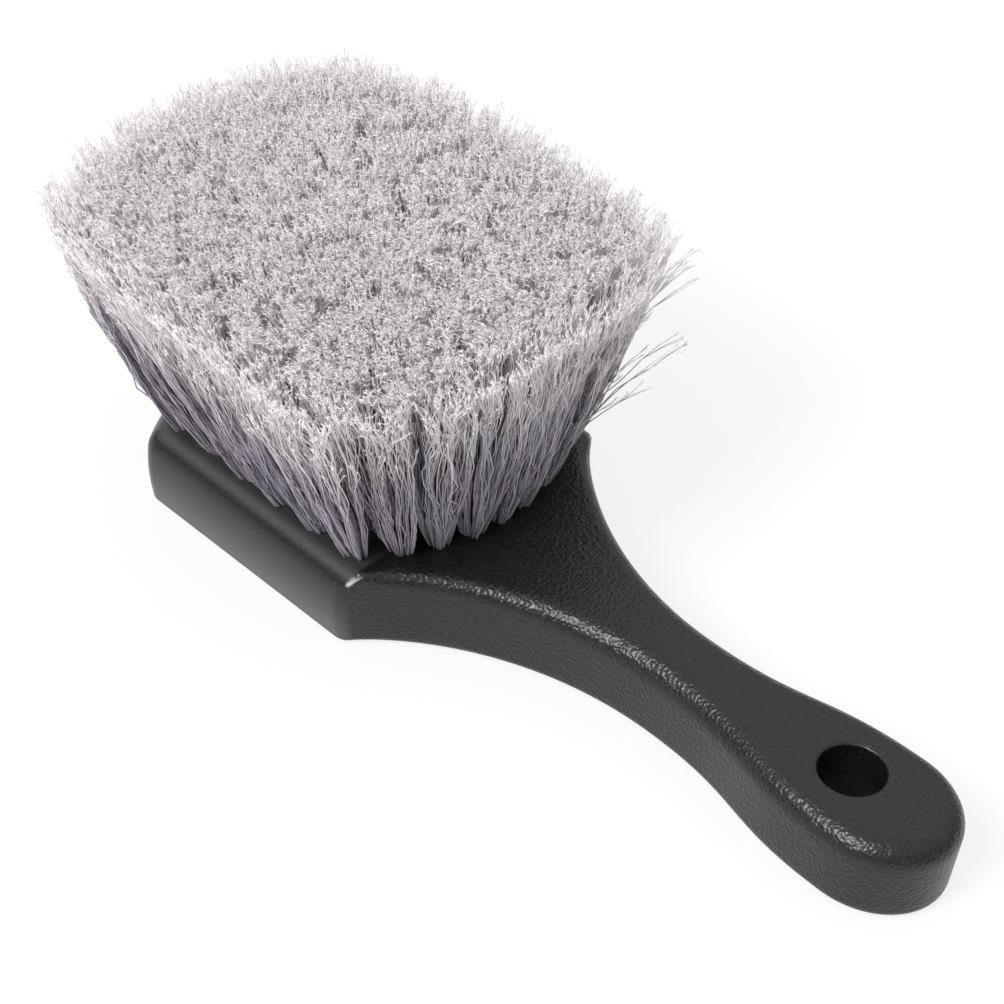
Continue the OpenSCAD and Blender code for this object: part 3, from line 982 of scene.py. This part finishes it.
def split_ends(paths, rng):
    """Slender three-sided spikes that curl out from each strand's tip: points and faces."""
    count = len(paths) * SPLITS
    tip = np.repeat(paths[:, -1], SPLITS, 0)
    run = unit(tip - np.repeat(paths[:, -2], SPLITS, 0))
    start = tip - run * SPLIT_ZONE * rng.uniform(0, 1, (count, 1))
    follow = mix(*SPLIT_FOLLOW, ease(trim_reach(tip[:, :2]), *SPLIT_FOLLOW_ZONE))
    aim = unit(run * follow[:, None] + rng.normal(0, 1, (count, 3)) * SPLIT_SCATTER)
    end = start + aim * rng.uniform(*SPLIT_LENGTH, (count, 1))
    side = unit(np.cross(aim, ACROSS)) * SPLIT_RADIUS
    other = np.cross(aim, side)
    angle = corner_angles()[None, :, None]
    base = start[:, None] + side[:, None] * np.cos(angle) + other[:, None] * np.sin(angle)
    points = np.concatenate([base, end[:, None]], 1).reshape(-1, 3)

    first = np.arange(count)[:, None] * (SIDES + 1)
    corner = np.arange(SIDES)
    following = (corner + 1) % SIDES
    apex = np.repeat(first + SIDES, SIDES, 1)
    faces = np.stack([first + corner, first + following, apex], -1)
    return points, faces.reshape(-1, 3)


def filament_tints(count, rng):
    """A colour for each filament, in part its lock's."""
    lock_grey = rng.uniform(*LOCK_GREY, 1 + count // LOCK_FILAMENTS)
    grey = rng.uniform(*FILAMENT_GREY, count) * np.repeat(lock_grey, LOCK_FILAMENTS)[:count]
    warmth = rng.normal(0, WARMTH_SPREAD, count)
    return np.stack([grey * (1 + warmth), grey, grey * (1 - warmth), np.ones(count)], 1)


def along_tube(low, high, paths):
    """The share of a filament's length at each point of one tube."""
    return np.repeat(np.linspace(low, high, paths.shape[1]), SIDES)


def make_row(row, material):
    """One row of tufts: stems, fine strands and split ends in one mesh."""
    rng = np.random.default_rng(FIRST_SEED + row)
    tufts, pitch = row_tufts(row)
    paths = np.concatenate([filaments_of(tuft, pitch, rng) for tuft in tufts])
    paths = np.concatenate([paths, stray_paths(tufts[0], row, rng)])
    stems = paths[:, :STEM_SEGMENTS + 1]
    fine = branches_of(paths, rng)
    count = len(paths)
    tints = filament_tints(count, rng)

    stem_tubes = tubes(stems, ROOT_RADIUS, STEM_RADIUS)
    fine_tubes = tubes(fine, BRANCH_RADIUS, TIP_RADIUS)
    layers = (
        (stem_tubes, along_tube(0.0, STEM_SHARE, stems), 1, STEM_CONTRAST),
        (fine_tubes, along_tube(STEM_SHARE, 1.0, fine), BRANCHES, FINE_CONTRAST),
        (split_ends(fine, rng), np.ones(SIDES + 1), BRANCHES * SPLITS, FINE_CONTRAST),
    )
    points = []
    faces = []
    along = []
    shade = []
    start = 0
    for (layer_points, layer_faces), strand_along, copies, contrast in layers:
        points.append(layer_points)
        faces += (layer_faces + start).tolist()
        along.append(np.tile(strand_along, count * copies))
        shade.append(np.repeat(tints**contrast, copies * len(strand_along), 0))
        start += len(layer_points)

    places = in_row_frame(np.concatenate(points))
    piece = new_piece(f"bristle_row_{row}", places, faces, "bristle", material)
    along_data = piece.data.attributes.new("along", "FLOAT", "POINT")
    along_data.data.foreach_set("value", np.concatenate(along).astype(np.float32))
    shade_data = piece.data.color_attributes.new("shade", "FLOAT_COLOR", "POINT")
    shade_data.data.foreach_set("color", np.concatenate(shade).astype(np.float32).ravel())
    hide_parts(f"tuft_row_{row}")


def dress_anchors(material):
    """The solids of the anchors, in wire."""
    for row in ROWS:
        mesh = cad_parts[f"anchor_row_{row}"].data
        mesh.materials.clear()
        mesh.materials.append(material)


# Floor and light, in metres

FLOOR_REACH = 6.0
# The floor lies this far below the flat back
FLOOR_GAP = 0.0002
PAPER_COLOUR = (0.9, 0.9, 0.9, 1)
PAPER_ROUGHNESS = 0.9
# The share of plain white in what the camera sees of the floor
FLOOR_WHITENESS = 0.78
# The floor that shows through the hang hole lies in shadow, by its distance from the hole's axis
HOLE_SHADOW = (0.009, 0.012)
# The sky's strength at the horizon, and from this height of its unit sphere upward
SKY_STRENGTH = (0.12, 0.88)
SKY_FULL_HEIGHT = 0.6
# The sky is brighter over the brush's front end than over its handle
SKY_ALONG = (1.12, 0.92)
# The lamp's direction from the brush, its strength, and how wide it looks
KEY_FROM = (-0.11, -0.71, 0.68)
KEY_ENERGY = 2.3
KEY_ANGLE = math.radians(22)


def paper():
    """White paper that the camera and reflections see as mostly plain white, with a faint shadow."""
    material, tree, shader = nodes_of("pale_floor")
    shader.inputs["Base Color"].default_value = PAPER_COLOUR
    shader.inputs["Roughness"].default_value = PAPER_ROUGHNESS
    rays = add(tree, "ShaderNodeLightPath").outputs
    seen = combine(tree, "MAXIMUM", rays["Is Camera Ray"], rays["Is Glossy Ray"])
    lit = map_range(tree, length_of(tree, place_on(tree)), *HOLE_SHADOW, 0.0, FLOOR_WHITENESS)
    glow = add(tree, "ShaderNodeEmission", Strength=1.0)
    blend = add(tree, "ShaderNodeMixShader")
    link(tree, combine(tree, "MULTIPLY", seen, lit), blend.inputs["Fac"])
    link(tree, shader.outputs["BSDF"], blend.inputs[1])
    link(tree, glow.outputs["Emission"], blend.inputs[2])
    link(tree, blend.outputs["Shader"], tree.nodes["Material Output"].inputs["Surface"])
    return material


def make_floor():
    """A wide flat floor, a hair below the brush's flat back."""
    mesh = bpy.data.meshes.new("floor")
    corners = ((-1, -1, 0), (1, -1, 0), (1, 1, 0), (-1, 1, 0))
    mesh.from_pydata(np.array(corners) * FLOOR_REACH, [], [(0, 1, 2, 3)])
    mesh.materials.append(paper())
    floor = show("floor", mesh)
    floor.location.z = -FLOOR_GAP


def make_sky():
    """A soft white sky, brightest overhead."""
    world = bpy.data.worlds.new("studio")
    bpy.context.scene.world = world
    world.use_nodes = True
    tree = world.node_tree
    axes = axes_of(tree, add(tree, "ShaderNodeTexCoord").outputs["Generated"])
    by_height = map_range(tree, axes["Z"], 0.0, SKY_FULL_HEIGHT, *SKY_STRENGTH)
    by_length = map_range(tree, axes["X"], -1.0, 1.0, *SKY_ALONG)
    background = tree.nodes["Background"]
    background.inputs["Color"].default_value = (1, 1, 1, 1)
    link(tree, combine(tree, "MULTIPLY", by_height, by_length), background.inputs["Strength"])


def make_key():
    """One wide, soft lamp from the brush's near side."""
    lamp = bpy.data.lights.new("key", "SUN")
    lamp.energy = KEY_ENERGY
    lamp.angle = KEY_ANGLE
    key = show("key", lamp)
    key.rotation_euler = Vector(KEY_FROM).to_track_quat("Z", "Y").to_euler()


# Camera, fitted to the block's edges in the photograph

AZIMUTH = math.radians(41.42)
ELEVATION = math.radians(41.85)
ROLL = math.radians(5.17)
# The point that the camera faces and its distance, in millimetres from the shoulder line
AIM = np.array([0, 0, 9.37])
DISTANCE = 619.2
# The picture's width, the focal length and the place that the camera faces, in pixels
PICTURE = 1004
FOCAL_PIXELS = 2709.32
CENTRE = (469.63, 536.41)
SENSOR_WIDTH = 36
CLIP_START = 0.01


def make_camera():
    """The photograph's camera."""
    level = math.cos(ELEVATION)
    back = np.array([math.sin(AZIMUTH) * level, -math.cos(AZIMUTH) * level, math.sin(ELEVATION)])
    right = np.array([math.cos(AZIMUTH), math.sin(AZIMUTH), 0])
    up = np.cross(back, right)
    right_rolled = math.cos(ROLL) * right + math.sin(ROLL) * up
    up_rolled = -math.sin(ROLL) * right + math.cos(ROLL) * up
    stance = np.eye(4)
    stance[:3, :3] = np.stack([right_rolled, up_rolled, back], 1)
    stance[:3, 3] = in_row_frame(AIM + back * DISTANCE)

    view = bpy.data.cameras.new("camera")
    view.sensor_width = SENSOR_WIDTH
    view.lens = FOCAL_PIXELS / PICTURE * SENSOR_WIDTH
    view.shift_x = (PICTURE / 2 - CENTRE[0]) / PICTURE
    view.shift_y = (CENTRE[1] - PICTURE / 2) / PICTURE
    view.clip_start = CLIP_START
    camera = show("camera", view)
    camera.matrix_world = Matrix(stance.tolist())
    bpy.context.scene.camera = camera


# Making

make_block(plastic())
filament = bristle()
for row in ROWS:
    make_row(row, filament)
dress_anchors(steel())
make_floor()
make_sky()
make_key()
make_camera()
bpy.context.scene.view_settings.view_transform = "Standard"
